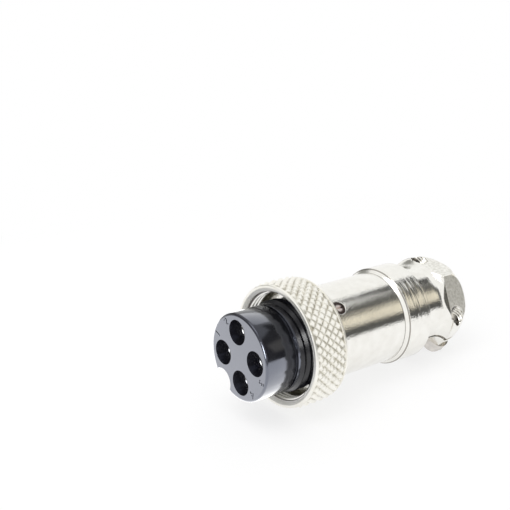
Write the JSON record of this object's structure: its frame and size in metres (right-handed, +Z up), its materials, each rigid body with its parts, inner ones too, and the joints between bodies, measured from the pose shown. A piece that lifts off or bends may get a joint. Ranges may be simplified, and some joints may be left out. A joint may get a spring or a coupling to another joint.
{
  "type": "aviation plug connector",
  "caption": "Round cable plug with a black socket insert, a knurled coupling nut and a screwed cable clamp; joins a cable to a panel socket.",
  "frame": {"origin": "centre of the mating face of the insulator, on the plug's axis", "axes": "+X along the plug's axis towards the cable end; the mating face looks along -X; contacts stand on the Y and Z axes; +Z up as the plug lies"},
  "size_m": [0.0396, 0.0184, 0.0184],
  "materials": {
    "insulator": "glossy black moulded thermoset, face slightly matt",
    "contact_plating": "silver-plated brass",
    "nickel_shell": "bright nickel plate over a fine cast skin",
    "nickel_knurl": "satin nickel plate on the knurl",
    "screw_steel": "nickel-plated steel"
  },
  "bodies": {
    "shell": {"barrel": "nickel_shell", "insulator": "insulator", "contact_1": "contact_plating", "contact_2": "contact_plating", "contact_3": "contact_plating", "contact_4": "contact_plating", "set_screw": "screw_steel"},
    "nut": {"coupling_nut": "nickel_knurl"},
    "saddle": {"clamp_saddle": "nickel_shell"},
    "screw_1": {"clamp_screw_1": "screw_steel"},
    "screw_2": {"clamp_screw_2": "screw_steel"}
  },
  "joints": [
    {"name": "nut_turn", "type": "hinge", "parent": "shell", "child": "nut", "pos_m": [0.0092, 0, 0], "axis": [-1, 0, 0], "continuous": true},
    {"name": "clamp_close", "type": "slide", "parent": "shell", "child": "saddle", "axis": [0, -0.7071, 0.7071], "range_m": [0, 0.0003]},
    {"name": "screw_1_turn", "type": "hinge", "parent": "saddle", "child": "screw_1", "pos_m": [0.0369, 0.00382, 0.00382], "axis": [0, -0.7071, 0.7071], "continuous": true},
    {"name": "screw_2_turn", "type": "hinge", "parent": "saddle", "child": "screw_2", "pos_m": [0.0369, -0.00382, -0.00382], "axis": [0, -0.7071, 0.7071], "continuous": true}
  ]
}
